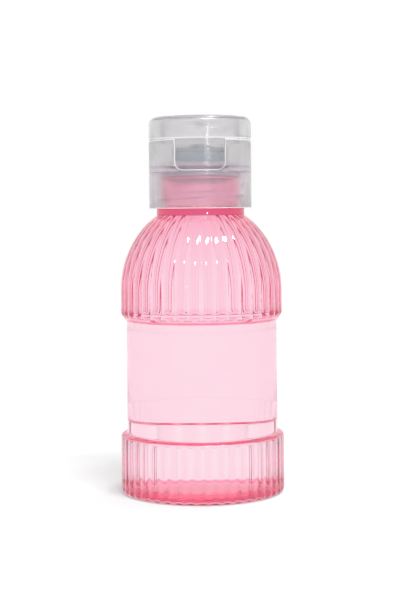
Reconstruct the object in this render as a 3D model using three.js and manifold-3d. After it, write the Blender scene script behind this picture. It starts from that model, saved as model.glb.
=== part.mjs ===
// Cologne bottle with a screw-on flip-top cap. Millimetres, +Z up.
// The origin is the middle of the foot on the surface it stands on.
// The thumb recess faces -Y and the lid hinge is at +Y.
import * as THREE from 'three';
import { mergeVertices } from 'three/addons/utils/BufferGeometryUtils.js';
import Module from 'manifold-3d';

const wasm = await Module();
wasm.setup();

// Plain barrel of the bottle
const BARREL_R = 21.92;
const BARREL_H = 33.4;

// Foot ring of the bottle, which stands out from the barrel by a step
const FOOT_STEP = 1.9;
const FOOT_STRAIGHT_H = 15.5;
const FOOT_SHOULDER_H = 1.2;
const FOOT_EDGE_ROUND = 1.0;
const FOOT_RIBS = 44;
const FOOT_RIB_DEPTH = 0.28;
const PUSH_UP_R = 18.5;
const PUSH_UP_H = 1.4;

// Ribbed dome of the bottle, which stands out from the barrel by a step
const DOME_STEP = 1.65;
const DOME_LIP_H = 2.3;
const DOME_STRAIGHT_H = 6.3;
const DOME_RISE = 21.8;
const DOME_RIBS = 38;
const DOME_RIB_DEPTH = 0.4;

// Neck finish of the bottle
const NECK_R = 10.75;
const NECK_H = 9.0;
const NECK_WALL = 1.75;
const NECK_RING_STEP = 2.1;
const NECK_RING_H = 2.3;
const NECK_RIM_ROUND = 0.4;

// Walls and fill of the bottle
const WALL = 0.6;
const FLOOR = 1.4;
const FLOOR_CORNER = 3.0;
const FILL_IN_NECK = 3.4;
const FILL_CLEARANCE = 0.1;

// Screw thread shared by the neck and the cap
const THREAD_PITCH = 3.175;
const THREAD_TURNS = 1.25;
const THREAD_H = 1.1;
const THREAD_ROOT_W = 1.5;
const THREAD_CREST_W = 0.6;
const THREAD_DROP = 3.0;
const THREAD_CLEARANCE = 0.3;
const THREAD_ROOT_SINK = 0.3;
const THREAD_FLANK_CLEARANCE = 0.3;
const THREAD_LEAD_STEPS = 3;
const THREAD_END_SHARE = 0.1;

// Sealing liner between the neck rim and the cap deck
const LINER_T = 1.2;
const LINER_HOLE_R = 7.1;
const LINER_CLEARANCE = 0.05;

// Cap base: outer shell, threaded skirt, deck and spout tower
const SKIRT_WALL = 0.9;
const SKIRT_CLEARANCE = 0.4;
const SHELL_GAP = 0.85;
const CAP_WALL = 1.1;
const CAP_ABOVE_DOME = 1.95;
const CAP_BOTTOM_ROUND = 0.35;
const DECK_T = 1.3;
const CHAMBER_H = 7.9;
const TOWER_R = 8.0;
const TOWER_H = 5.4;
const TOWER_WALL = 1.2;
const TOWER_FLARE = 1.4;
const NOZZLE_H = 0.8;
const NOZZLE_R = 2.8;
const ORIFICE_R = 1.75;

// Thumb recess in the front of the cap base
const RECESS_W = 15.0;
const RECESS_H = 8.8;
const RECESS_CORNER = 2.4;
const RECESS_DEPTH = 1.4;
const RECESS_BACK = 1.0;

// Flip lid
const SPLIT_GAP = 0.2;
const LID_H = 6.55;
const LID_TOP_T = 1.2;
const LID_EDGE_ROUND = 2.2;
const LID_CROWN = 0.35;
const SPIGOT_CLEARANCE = 0.7;
const SPIGOT_WALL = 0.8;
const SPIGOT_DIP = 1.6;
const PIN_CLEARANCE = 0.5;
const PIN_REACH = 0.9;
const PIN_TIP_TAPER = 0.4;

// Living hinge at the back of the cap
const HINGE_FLAT_DEPTH = 1.0;
const HINGE_FLAT_MARGIN = 0.2;
const HINGE_PAD_W = 10.0;
const HINGE_PAD_T = 1.5;
const HINGE_PAD_EXTRA_H = 1.0;
const FILM_T = 0.35;
const FILM_W = 1.8;
const FILM_SPAN = 3.2;
const FILM_OFFSET = 3.9;
const STRAP_T = 0.45;
const STRAP_W = 3.4;
const STRAP_SPAN = 4.4;
const STRAP_BOW = 0.45;
const HINGE_SEAT_CLEARANCE = 0.05;

// Smoothness of round shapes
const POINTS_PER_RIB = 3;
const BOTTLE_SIDES = 48;
const CAP_SIDES = 48;
const THREAD_STEPS = 32;
const ARC_STEPS = 3;
const DOME_STEPS = 7;
const MERGE_TOLERANCE = 1e-4;

// Colours and roughness of the plastics and the liquid
const PINK_PET = 0xf27aa0;
const PET_ROUGHNESS = 0.05;
const LIQUID = 0xfbe4ea;
const LIQUID_ROUGHNESS = 0.0;
const NATURAL_PP = 0xc9c6c9;
const PP_ROUGHNESS = 0.25;
const FOAM_WHITE = 0xe4dfe2;
const FOAM_ROUGHNESS = 0.7;

// Radii worked out from the sizes above
const FOOT_R = BARREL_R + FOOT_STEP;
const DOME_R = BARREL_R + DOME_STEP;
const NECK_RING_R = NECK_R + NECK_RING_STEP;
const NECK_BORE_R = NECK_R - NECK_WALL;
const THREAD_CREST_R = NECK_R + THREAD_H;
const SKIRT_R = THREAD_CREST_R + THREAD_CLEARANCE;
const SHELL_IN_R = SKIRT_R + SKIRT_WALL + SHELL_GAP;
const CAP_R = SHELL_IN_R + CAP_WALL;
const RECESS_IN_R = CAP_R - RECESS_DEPTH - RECESS_BACK;
const HINGE_FLAT_Y = CAP_R - HINGE_FLAT_DEPTH;
const SPIGOT_R = Math.min(RECESS_IN_R, HINGE_FLAT_Y - HINGE_PAD_T) - SPIGOT_CLEARANCE;

// Heights worked out from the sizes above
const BARREL_Z = FOOT_STRAIGHT_H + FOOT_SHOULDER_H;
const LIP_Z = BARREL_Z + BARREL_H;
const SPRING_Z = LIP_Z + DOME_LIP_H + DOME_STRAIGHT_H;
const NECK_Z = SPRING_Z + DOME_RISE;
const NECK_RING_TOP = NECK_Z + NECK_RING_H;
const RIM_Z = NECK_RING_TOP + NECK_H;
const LINER_Z = RIM_Z + LINER_CLEARANCE;
const DECK_Z = LINER_Z + LINER_T + LINER_CLEARANCE;
const DECK_TOP = DECK_Z + DECK_T;
const BASE_TOP = DECK_TOP + CHAMBER_H;
const LID_Z = BASE_TOP + SPLIT_GAP;
const SPLIT_Z = BASE_TOP + SPLIT_GAP / 2;
const LID_EDGE_Z = LID_Z + LID_H;
const TOWER_TOP = DECK_TOP + TOWER_H;
const CAP_BOTTOM = NECK_Z + CAP_ABOVE_DOME;
const SKIRT_BOTTOM = NECK_RING_TOP + SKIRT_CLEARANCE;
const HINGE_FLAT_HALF_H = Math.max(FILM_SPAN, STRAP_SPAN) / 2 + HINGE_FLAT_MARGIN;

// The cap thread runs below the neck thread, a flank clearance away at every radius
const THREAD_TOP = RIM_Z - THREAD_DROP;
const CAP_THREAD_TOP = THREAD_TOP - (THREAD_ROOT_W + THREAD_CREST_W) / 2 - THREAD_FLANK_CLEARANCE;
const CAP_THREAD_TURNS = (CAP_THREAD_TOP - THREAD_ROOT_W / 2 - SKIRT_BOTTOM) / THREAD_PITCH;

// Solid joining and cutting

function solidOf(geometry) {
  geometry.deleteAttribute('normal');
  geometry.deleteAttribute('uv');
  const merged = mergeVertices(geometry, MERGE_TOLERANCE);
  const vertProperties = new Float32Array(merged.attributes.position.array);
  const triVerts = new Uint32Array(merged.index.array);
  const mesh = new wasm.Mesh({ numProp: 3, vertProperties, triVerts });
  return new wasm.Manifold(mesh);
}

function geometryOf(solid) {
  const mesh = solid.getMesh();
  const geometry = new THREE.BufferGeometry();
  geometry.setAttribute('position', new THREE.BufferAttribute(mesh.vertProperties, 3));
  geometry.setIndex(new THREE.BufferAttribute(mesh.triVerts, 1));
  geometry.computeVertexNormals();
  return geometry;
}

// Revolves a profile of [radius, height] points about Z, starting at the front (-Y)
function revolve(profile, sides) {
  const points = profile.map(([r, z]) => new THREE.Vector2(r, z));
  const geometry = new THREE.LatheGeometry(points, sides);
  geometry.rotateX(Math.PI / 2);
  return geometry;
}

// Adds the first point again, so that a ring profile closes on itself
function closed(profile) {
  return [...profile, profile[0]];
}

// Skins a row of rings that all have the same number of points, and closes both ends
function skin(rings) {
  const size = rings[0].length;
  const positions = rings.flat().flatMap((p) => [p.x, p.y, p.z]);
  const index = [];
  for (let i = 0; i + 1 < rings.length; i += 1) {
    for (let j = 0; j < size; j += 1) {
      const a = i * size + j;
      const b = i * size + (j + 1) % size;
      index.push(a, b, a + size, b, b + size, a + size);
    }
  }
  const last = (rings.length - 1) * size;
  for (let j = 1; j + 1 < size; j += 1) {
    index.push(0, j + 1, j);
    index.push(last, last + j, last + j + 1);
  }
  const geometry = new THREE.BufferGeometry();
  geometry.setAttribute('position', new THREE.Float32BufferAttribute(positions, 3));
  geometry.setIndex(index);
  return geometry;
}

// Extrudes an outline in the X-Z plane from y = 0 towards the front
function frontPrism(shape, depth) {
  const geometry = new THREE.ExtrudeGeometry(shape, { depth, bevelEnabled: false, curveSegments: ARC_STEPS });
  geometry.rotateX(Math.PI / 2);
  return geometry;
}

function box(width, depth, height, x, y, z) {
  const geometry = new THREE.BoxGeometry(width, depth, height);
  geometry.translate(x, y, z);
  return geometry;
}

// Bottle

// Presses a groove between neighbouring ribs; depthAt gives the groove depth at a height
function flute(geometry, ribs, depthAt) {
  const position = geometry.attributes.position;
  for (let i = 0; i < position.count; i += 1) {
    const x = position.getX(i);
    const y = position.getY(i);
    const z = position.getZ(i);
    const r = Math.hypot(x, y);
    if (r > 0) {
      const turn = Math.atan2(x, -y) / (2 * Math.PI);
      const across = 2 * (turn * ribs - Math.round(turn * ribs));
      const grooved = r - depthAt(z) * (1 - Math.abs(across)) ** 2;
      position.setXY(i, x * grooved / r, y * grooved / r);
    }
  }
  return geometry;
}

// Height of the dome ellipse that passes from the straight part to the neck ring
function domeHalfHeight() {
  return DOME_RISE / Math.sqrt(1 - (NECK_RING_R / DOME_R) ** 2);
}

function domeRadius(z) {
  const up = Math.max(0, (z - SPRING_Z) / domeHalfHeight());
  return DOME_R * Math.sqrt(1 - up * up);
}

function dome() {
  const profile = [[0, LIP_Z]];
  for (let i = 0; i <= ARC_STEPS; i += 1) {
    const t = i / ARC_STEPS;
    const swell = 1 - (1 - t) ** 2;
    profile.push([BARREL_R + (DOME_R - BARREL_R) * swell, LIP_Z + DOME_LIP_H * t]);
  }
  for (let i = 0; i <= DOME_STEPS; i += 1) {
    const t = Math.sin(Math.PI / 2 * i / DOME_STEPS);
    const z = SPRING_Z + DOME_RISE * t;
    profile.push([domeRadius(z), z]);
  }
  profile.push([0, NECK_Z]);
  const depthAt = (z) => {
    const lip = THREE.MathUtils.clamp((z - LIP_Z) / DOME_LIP_H, 0, 1);
    const crown = THREE.MathUtils.clamp((NECK_Z - z) / DOME_RISE, 0, 1);
    return DOME_RIB_DEPTH * lip * Math.sqrt(crown);
  };
  return flute(revolve(profile, DOME_RIBS * POINTS_PER_RIB), DOME_RIBS, depthAt);
}

function foot() {
  const profile = [[0, 0]];
  for (let i = 0; i <= ARC_STEPS; i += 1) {
    const angle = Math.PI / 2 * i / ARC_STEPS;
    const r = FOOT_R - FOOT_EDGE_ROUND * (1 - Math.sin(angle));
    profile.push([r, FOOT_EDGE_ROUND * (1 - Math.cos(angle))]);
  }
  for (let i = 0; i <= ARC_STEPS; i += 1) {
    const t = i / ARC_STEPS;
    const r = FOOT_R - (FOOT_R - BARREL_R) * t * t;
    profile.push([r, FOOT_STRAIGHT_H + FOOT_SHOULDER_H * t]);
  }
  profile.push([0, BARREL_Z]);
  const depthAt = (z) => FOOT_RIB_DEPTH * THREE.MathUtils.clamp((BARREL_Z - z) / FOOT_SHOULDER_H, 0, 1);
  return flute(revolve(profile, FOOT_RIBS * POINTS_PER_RIB), FOOT_RIBS, depthAt);
}

// The plain core joins the foot, the dome and the neck
function core() {
  const profile = [
    [0, FOOT_STRAIGHT_H],
    [BARREL_R, FOOT_STRAIGHT_H],
    [BARREL_R, LIP_Z + DOME_LIP_H],
    [NECK_RING_R, LIP_Z + DOME_LIP_H],
    [NECK_RING_R, NECK_RING_TOP],
    [NECK_R, NECK_RING_TOP],
    [NECK_R, RIM_Z - NECK_RIM_ROUND],
    [NECK_R - NECK_RIM_ROUND, RIM_Z],
    [0, RIM_Z],
  ];
  return revolve(profile, BOTTLE_SIDES);
}

// Inside of the bottle up to a height in the neck, drawn in by an inset
function cavityProfile(inset, top) {
  const footR = FOOT_R - FOOT_RIB_DEPTH - WALL - inset;
  const barrelR = BARREL_R - WALL - inset;
  const domeR = DOME_R - DOME_RIB_DEPTH - WALL - inset;
  const neckR = NECK_BORE_R - inset;
  const floorZ = FLOOR + PUSH_UP_H + inset;
  const halfHeight = domeHalfHeight() - WALL - inset;
  const neckRise = halfHeight * Math.sqrt(1 - (neckR / domeR) ** 2);
  const profile = [[0, floorZ]];
  for (let i = 0; i <= ARC_STEPS; i += 1) {
    const angle = Math.PI / 2 * i / ARC_STEPS;
    const r = footR - FLOOR_CORNER * (1 - Math.sin(angle));
    profile.push([r, floorZ + FLOOR_CORNER * (1 - Math.cos(angle))]);
  }
  profile.push([footR, FOOT_STRAIGHT_H - WALL]);
  profile.push([barrelR, BARREL_Z - WALL]);
  profile.push([barrelR, LIP_Z + WALL]);
  profile.push([domeR, LIP_Z + DOME_LIP_H + WALL]);
  for (let i = 0; i <= DOME_STEPS; i += 1) {
    const up = neckRise * Math.sin(Math.PI / 2 * i / DOME_STEPS);
    profile.push([domeR * Math.sqrt(1 - (up / halfHeight) ** 2), SPRING_Z + up]);
  }
  profile.push([neckR, top]);
  profile.push([0, top]);
  return profile;
}

function pushUp() {
  const profile = [
    [0, -PUSH_UP_H],
    [PUSH_UP_R, -PUSH_UP_H],
    [PUSH_UP_R, 0],
    [PUSH_UP_R - PUSH_UP_H, PUSH_UP_H / 2],
    [0, PUSH_UP_H],
  ];
  return revolve(profile, BOTTLE_SIDES);
}

// Right-hand helical ridge between two radii, from its top end down, tapering to its root at both ends
function ridge(rootR, crestR, topZ, turns) {
  const steps = Math.floor(turns * THREAD_STEPS);
  const rings = [];
  for (let i = 0; i <= steps; i += 1) {
    const turn = -i / THREAD_STEPS;
    const angle = 2 * Math.PI * turn;
    const z = topZ + THREAD_PITCH * turn;
    const fromEnd = Math.min(i, steps - i) / THREAD_LEAD_STEPS;
    const grown = Math.min(1, THREAD_END_SHARE + fromEnd);
    const crest = rootR + (crestR - rootR) * grown;
    const section = [
      [rootR, -THREAD_ROOT_W / 2],
      [crest, -THREAD_CREST_W / 2],
      [crest, THREAD_CREST_W / 2],
      [rootR, THREAD_ROOT_W / 2],
    ];
    const ring = section.map(([r, dz]) => {
      return new THREE.Vector3(r * Math.cos(angle), r * Math.sin(angle), z + dz);
    });
    rings.push(crestR > rootR ? ring : ring.reverse());
  }
  return skin(rings);
}

function bottleBody() {
  const neckThread = ridge(NECK_R - THREAD_ROOT_SINK, THREAD_CREST_R, THREAD_TOP, THREAD_TURNS);
  const cavity = revolve(cavityProfile(0, RIM_Z + WALL), BOTTLE_SIDES);
  const outside = solidOf(core()).add(solidOf(foot())).add(solidOf(dome())).add(solidOf(neckThread));
  return geometryOf(outside.subtract(solidOf(cavity)).subtract(solidOf(pushUp())));
}

function cologne() {
  return revolve(cavityProfile(FILL_CLEARANCE, NECK_Z + FILL_IN_NECK), BOTTLE_SIDES);
}

// Sealing liner

function sealingLiner() {
  const outer = SKIRT_R - THREAD_CLEARANCE;
  const profile = closed([
    [LINER_HOLE_R, LINER_Z],
    [outer, LINER_Z],
    [outer, LINER_Z + LINER_T],
    [LINER_HOLE_R, LINER_Z + LINER_T],
  ]);
  return revolve(profile, CAP_SIDES);
}

// Cap base

function capBaseRing() {
  const skirtOut = SKIRT_R + SKIRT_WALL;
  const towerIn = TOWER_R - TOWER_WALL;
  const profile = closed([
    [CAP_R - CAP_BOTTOM_ROUND, CAP_BOTTOM],
    [CAP_R, CAP_BOTTOM + CAP_BOTTOM_ROUND],
    [CAP_R, BASE_TOP],
    [SHELL_IN_R, BASE_TOP],
    [SHELL_IN_R, DECK_TOP],
    [TOWER_R + TOWER_FLARE, DECK_TOP],
    [TOWER_R, DECK_TOP + TOWER_FLARE],
    [TOWER_R, TOWER_TOP],
    [NOZZLE_R, TOWER_TOP],
    [NOZZLE_R, TOWER_TOP + NOZZLE_H],
    [ORIFICE_R, TOWER_TOP + NOZZLE_H],
    [ORIFICE_R, TOWER_TOP - TOWER_WALL],
    [towerIn, TOWER_TOP - TOWER_WALL],
    [towerIn, DECK_Z],
    [SKIRT_R, DECK_Z],
    [SKIRT_R, SKIRT_BOTTOM],
    [skirtOut, SKIRT_BOTTOM],
    [skirtOut, DECK_Z],
    [SHELL_IN_R, DECK_Z],
    [SHELL_IN_R, CAP_BOTTOM],
  ]);
  return revolve(profile, CAP_SIDES);
}

// Outline of the thumb recess, grown by a margin, open at the top
function recessOutline(margin, top) {
  const half = RECESS_W / 2 + margin;
  const low = BASE_TOP - RECESS_H - margin;
  const corner = RECESS_CORNER + margin;
  const shape = new THREE.Shape();
  shape.moveTo(-half, top);
  shape.lineTo(-half, low + corner);
  shape.absarc(-half + corner, low + corner, corner, Math.PI, 1.5 * Math.PI, false);
  shape.absarc(half - corner, low + corner, corner, 1.5 * Math.PI, 2 * Math.PI, false);
  shape.lineTo(half, top);
  return shape;
}

function upright(radius) {
  const profile = [
    [0, CAP_BOTTOM],
    [radius, CAP_BOTTOM],
    [radius, LID_EDGE_Z],
    [0, LID_EDGE_Z],
  ];
  return solidOf(revolve(profile, CAP_SIDES));
}

// Wall behind the recess, and the space that the thumb enters
function recessWall() {
  const prism = solidOf(frontPrism(recessOutline(RECESS_BACK, BASE_TOP), CAP_R));
  return prism.intersect(upright(CAP_R - CAP_WALL / 2)).subtract(upright(RECESS_IN_R));
}

function recessSpace() {
  const prism = solidOf(frontPrism(recessOutline(0, LID_EDGE_Z), CAP_R + CAP_WALL));
  return prism.subtract(upright(CAP_R - RECESS_DEPTH));
}

// Thick pad inside the back wall, and the flat that the hinge films lie on
function hingePad(low, high) {
  const y = HINGE_FLAT_Y - HINGE_PAD_T / 2;
  return solidOf(box(HINGE_PAD_W, HINGE_PAD_T, high - low, 0, y, (low + high) / 2));
}

function hingeFlat() {
  const y = HINGE_FLAT_Y + HINGE_FLAT_DEPTH;
  return solidOf(box(CAP_R, 2 * HINGE_FLAT_DEPTH, 2 * HINGE_FLAT_HALF_H, 0, y, SPLIT_Z));
}

function capBase() {
  const threadRoot = SKIRT_R + THREAD_ROOT_SINK;
  const thread = ridge(threadRoot, NECK_R + THREAD_CLEARANCE, CAP_THREAD_TOP, CAP_THREAD_TURNS);
  const pad = hingePad(SPLIT_Z - HINGE_FLAT_HALF_H - HINGE_PAD_EXTRA_H, BASE_TOP);
  const joined = solidOf(capBaseRing()).add(recessWall()).add(pad).add(solidOf(thread));
  return geometryOf(joined.subtract(recessSpace()).subtract(hingeFlat()));
}

// Flip lid

function lidRing() {
  const under = LID_EDGE_Z - LID_TOP_T;
  const pinR = ORIFICE_R - PIN_CLEARANCE;
  const pinTip = TOWER_TOP + NOZZLE_H - PIN_REACH;
  const spigotZ = BASE_TOP - SPIGOT_DIP;
  const profile = [
    [0, pinTip],
    [pinR - PIN_TIP_TAPER, pinTip],
    [pinR, pinTip + PIN_TIP_TAPER],
    [pinR, under],
    [SPIGOT_R - SPIGOT_WALL, under],
    [SPIGOT_R - SPIGOT_WALL, spigotZ],
    [SPIGOT_R, spigotZ],
    [SPIGOT_R, under],
    [SHELL_IN_R, under],
    [SHELL_IN_R, LID_Z],
    [CAP_R, LID_Z],
  ];
  for (let i = 0; i <= ARC_STEPS; i += 1) {
    const angle = Math.PI / 2 * i / ARC_STEPS;
    const r = CAP_R - LID_EDGE_ROUND * (1 - Math.cos(angle));
    profile.push([r, LID_EDGE_Z - LID_EDGE_ROUND * (1 - Math.sin(angle))]);
  }
  profile.push([(CAP_R - LID_EDGE_ROUND) / 2, LID_EDGE_Z + LID_CROWN * 3 / 4]);
  profile.push([0, LID_EDGE_Z + LID_CROWN]);
  return revolve(profile, CAP_SIDES);
}

function flipLid() {
  const pad = hingePad(LID_Z, SPLIT_Z + HINGE_FLAT_HALF_H + HINGE_PAD_EXTRA_H);
  return geometryOf(solidOf(lidRing()).add(pad).subtract(hingeFlat()));
}

// Living hinge

function hingeFilm(side) {
  const y = HINGE_FLAT_Y + HINGE_SEAT_CLEARANCE + FILM_T / 2;
  return box(FILM_W, FILM_T, FILM_SPAN, side * FILM_OFFSET, y, SPLIT_Z);
}

// Bowed strap that snaps the lid open and shut, an arch in the Y-Z plane
function snapStrap() {
  const seat = HINGE_FLAT_Y + HINGE_SEAT_CLEARANCE;
  const half = STRAP_SPAN / 2;
  const shape = new THREE.Shape();
  shape.moveTo(seat, SPLIT_Z - half);
  shape.lineTo(seat + STRAP_T, SPLIT_Z - half);
  shape.quadraticCurveTo(seat + STRAP_T + 2 * STRAP_BOW, SPLIT_Z, seat + STRAP_T, SPLIT_Z + half);
  shape.lineTo(seat, SPLIT_Z + half);
  shape.quadraticCurveTo(seat + 2 * STRAP_BOW, SPLIT_Z, seat, SPLIT_Z - half);
  const settings = { depth: STRAP_W, bevelEnabled: false, curveSegments: 2 * ARC_STEPS };
  const geometry = new THREE.ExtrudeGeometry(shape, settings);
  const toYZ = new THREE.Matrix4();
  toYZ.makeBasis(new THREE.Vector3(0, 1, 0), new THREE.Vector3(0, 0, 1), new THREE.Vector3(1, 0, 0));
  geometry.applyMatrix4(toYZ);
  geometry.translate(-STRAP_W / 2, 0, 0);
  return geometry;
}

// Assembly

function piece(name, geometry, color, roughness) {
  const material = new THREE.MeshStandardMaterial({ color, roughness, metalness: 0 });
  const mesh = new THREE.Mesh(geometry, material);
  mesh.name = name;
  return mesh;
}

const lid = new THREE.Group();
lid.add(piece('flip_lid', flipLid(), NATURAL_PP, PP_ROUGHNESS));

const cap = new THREE.Group();
cap.add(piece('cap_base', capBase(), NATURAL_PP, PP_ROUGHNESS));
cap.add(piece('hinge_film_left', hingeFilm(-1), NATURAL_PP, PP_ROUGHNESS));
cap.add(piece('hinge_film_right', hingeFilm(1), NATURAL_PP, PP_ROUGHNESS));
cap.add(piece('snap_strap', snapStrap(), NATURAL_PP, PP_ROUGHNESS));
cap.add(lid);

const part = new THREE.Group();
part.add(piece('bottle_body', bottleBody(), PINK_PET, PET_ROUGHNESS));
part.add(piece('cologne', cologne(), LIQUID, LIQUID_ROUGHNESS));
part.add(piece('sealing_liner', sealingLiner(), FOAM_WHITE, FOAM_ROUGHNESS));
part.add(cap);

export default part;
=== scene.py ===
"""Looks of a filled pink cologne bottle with a translucent flip-top cap. Metres, +Z up, front at -Y."""
import math

import bmesh
import bpy
import numpy as np
from mathutils import Matrix, Vector


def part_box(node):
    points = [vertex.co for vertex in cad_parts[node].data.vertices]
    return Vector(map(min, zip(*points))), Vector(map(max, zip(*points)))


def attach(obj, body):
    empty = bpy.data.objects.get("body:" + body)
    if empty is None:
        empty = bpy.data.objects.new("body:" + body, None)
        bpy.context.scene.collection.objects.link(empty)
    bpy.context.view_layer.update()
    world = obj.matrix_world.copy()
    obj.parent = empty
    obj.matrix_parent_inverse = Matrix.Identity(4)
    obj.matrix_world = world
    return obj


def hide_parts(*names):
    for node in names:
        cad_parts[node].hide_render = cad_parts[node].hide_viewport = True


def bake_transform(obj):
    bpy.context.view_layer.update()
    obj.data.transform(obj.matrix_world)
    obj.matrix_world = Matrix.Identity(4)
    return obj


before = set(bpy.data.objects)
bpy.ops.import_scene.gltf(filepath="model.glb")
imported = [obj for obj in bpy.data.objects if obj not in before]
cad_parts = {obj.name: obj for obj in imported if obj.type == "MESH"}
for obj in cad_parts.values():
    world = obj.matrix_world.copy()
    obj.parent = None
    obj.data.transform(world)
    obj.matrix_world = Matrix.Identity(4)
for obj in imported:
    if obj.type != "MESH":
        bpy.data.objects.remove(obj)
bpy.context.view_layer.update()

MM = 0.001

# Bottle sizes
BARREL_R = 21.92 * MM
BARREL_H = 32.8 * MM
FOOT_STRAIGHT_H = 16.4 * MM
FOOT_SHOULDER_H = 0.9 * MM
FOOT_EDGE = 1.3 * MM
FOOT_RIBS = 44
FOOT_RIB_DEPTH = 0.32 * MM
FOOT_RIB_POWER = 2
FOOT_GROOVE_SOFT = 0.25
FOOT_RIB_FADE_H = 0.6 * MM
PUSH_UP_R = 18.5 * MM
PUSH_UP_H = 1.4 * MM
PUSH_UP_POWER = 6
GATE_R = 1.6 * MM
GATE_H = 0.45 * MM
DOME_STEP = 1.62 * MM
LIP_H = 2.3 * MM
DOME_STRAIGHT_H = 6.3 * MM
DOME_RISE = 21.8 * MM
DOME_RIBS = 38
DOME_RIB_DEPTH = 0.5 * MM
DOME_RIB_POWER = 2
DOME_GROOVE_SOFT = 0.04
FOOT_FILLET = 0.3 * MM
LIP_FILLET = 0.25 * MM
NECK_R = 11.55 * MM
NECK_WALL = 1.4 * MM
NECK_RING_R = 12.85 * MM
NECK_RING_H = 2.3 * MM
EDGE_ROUND = 0.3 * MM

# Wall of the bottle, thicker at the top of the dome and in the floor
WALL = 0.5 * MM
FOOT_WALL = 0.3 * MM
DOME_WALL = 0.38 * MM
DOME_TOP_WALL = 1.6 * MM
LIP_WALL = 0.5 * MM
FLOOR_T = 0.65 * MM
FLOOR_CORNER = 1.2 * MM
INNER_FLARE_UP = 0.6 * MM
INNER_FLARE_DOWN = 1.1 * MM
LIQUID_OVERLAP = 0.05 * MM
MENISCUS = 0.5 * MM

# How the rib ends of the dome round off: the share of the lip that a crest and a groove reach
LIP_RIB_END = (0.68, 0.25)

# Screw thread shared by the neck and the cap
PITCH = 3.175 * MM
THREAD_TURNS = 1.25
THREAD_H = 0.3 * MM
CAP_THREAD_H = 0.25 * MM
THREAD_ROOT_W = 2.8 * MM
THREAD_CREST_W = 0.2 * MM
THREAD_DROP = 3.0 * MM
THREAD_LEAD = 0.09
THREAD_START = 0.25
THREAD_CLEARANCE = 0.3 * MM
FLANK_CLEARANCE = 0.05 * MM

# Liner and cap sizes
LINER_HOLE_R = 7.1 * MM
LINER_EDGE = 0.2 * MM
LINER_GAP = 0.05 * MM
SKIRT_WALL = 0.9 * MM
SKIRT_CLEARANCE = 0.4 * MM
CAP_WALL = 1.1 * MM
DECK_T = 1.3 * MM
TOWER_R = 8.0 * MM
TOWER_H = 5.4 * MM
TOWER_WALL = 1.2 * MM
TOWER_FLARE = 1.4 * MM
NOZZLE_R = 2.8 * MM
NOZZLE_H = 0.8 * MM
ORIFICE_R = 1.75 * MM
RECESS_W = 14.4 * MM
RECESS_H = 8.8 * MM
RECESS_CORNER = 2.4 * MM
RECESS_DEPTH = 1.4 * MM
RECESS_BACK = 1.0 * MM
RECESS_EDGE = 0.18 * MM
SPLIT_GAP = 0.2 * MM
LID_TOP_T = 1.2 * MM
LID_ROUND = 2.2 * MM
LID_CROWN = 0.35 * MM
LID_CROWN_FALL = 1.15
SPIGOT_R = 11.8 * MM
SPIGOT_WALL = 0.8 * MM
SPIGOT_DIP = 1.6 * MM
PIN_CLEARANCE = 0.5 * MM
PIN_REACH = 0.9 * MM
PIN_TAPER = 0.4 * MM
HINGE_FLAT_DEPTH = 1.0 * MM
HINGE_FLAT_HALF_H = 2.4 * MM
HINGE_PAD_W = 10.0 * MM
HINGE_PAD_T = 1.5 * MM
HINGE_PAD_EXTRA_H = 1.0 * MM
HINGE_PAD_DIP = 0.03 * MM
STRAP_T = 0.45 * MM
RIBBON_EDGE_THIN = 0.4
RIBBON_EDGE_POWER = 8
RIBBON_MIDDLE_THIN = 0.35

# Smoothness: sides of a ring, rows of a curve, and the shares of a radius that rings lie at
FINE = FOOT_RIBS * DOME_RIBS // 2
COARSE = FINE // 4
CAP_SIDES = 256
THREAD_ROWS = 48
NECK_ROWS = 46
HEEL_ROWS = 8
RIB_FADE_ROWS = 9
STEP_ROWS = 18
DOME_ROWS = 24
FILLET_ROWS = 5
RIM_ROWS = 4
RIM_FIRST_TURN = 0.3
INNER_DOME_ROWS = 22
INNER_FLARE_ROWS = 13
INNER_ROUND_ROWS = 9
GATE_SHARES = (0.3, 0.8, 1.0)
PUSH_UP_SHARES = (0.3, 0.5, 0.65, 0.78, 0.87, 0.93, 0.97, 1.0)
MENISCUS_SHARES = (0.97, 0.9, 0.8)
LID_SHARES = (0.8, 0.6, 0.4, 0.2, 0.05)
EDGE_SLACK = 1.1
SHARP_ANGLE = math.radians(32)

# Places taken from the frame
FOOT_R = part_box("bottle_body")[1].x
RIM_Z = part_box("bottle_body")[1].z
FILL_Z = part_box("cologne")[1].z
CAP_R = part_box("cap_base")[1].x
CAP_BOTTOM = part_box("cap_base")[0].z
BASE_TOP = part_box("cap_base")[1].z
LID_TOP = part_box("flip_lid")[1].z

# Radii and heights worked out from the sizes
FOOT_STEP = FOOT_R - BARREL_R
DOME_R = BARREL_R + DOME_STEP
BARREL_Z = FOOT_STRAIGHT_H + FOOT_SHOULDER_H
LIP_Z = BARREL_Z + BARREL_H
LIP_TOP = LIP_Z + LIP_H
SPRING_Z = LIP_TOP + DOME_STRAIGHT_H
NECK_Z = SPRING_Z + DOME_RISE
NECK_RING_TOP = NECK_Z + NECK_RING_H
DOME_HALF_H = DOME_RISE / math.sqrt(1 - (NECK_RING_R / DOME_R) ** 2)
BORE_R = NECK_R - NECK_WALL
THREAD_TOP = RIM_Z - THREAD_DROP
SKIRT_R = NECK_R + THREAD_H + THREAD_CLEARANCE
SKIRT_OUT_R = SKIRT_R + SKIRT_WALL
SHELL_IN_R = CAP_R - CAP_WALL
UPPER_IN_R = CAP_R - RECESS_DEPTH - RECESS_BACK
DECK_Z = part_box("sealing_liner")[1].z + LINER_GAP
DECK_TOP = DECK_Z + DECK_T
TOWER_TOP = DECK_TOP + TOWER_H
SKIRT_BOTTOM = NECK_RING_TOP + SKIRT_CLEARANCE
LID_Z = BASE_TOP + SPLIT_GAP
LID_EDGE_Z = LID_TOP - LID_CROWN
HINGE_Y = CAP_R - HINGE_FLAT_DEPTH
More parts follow.
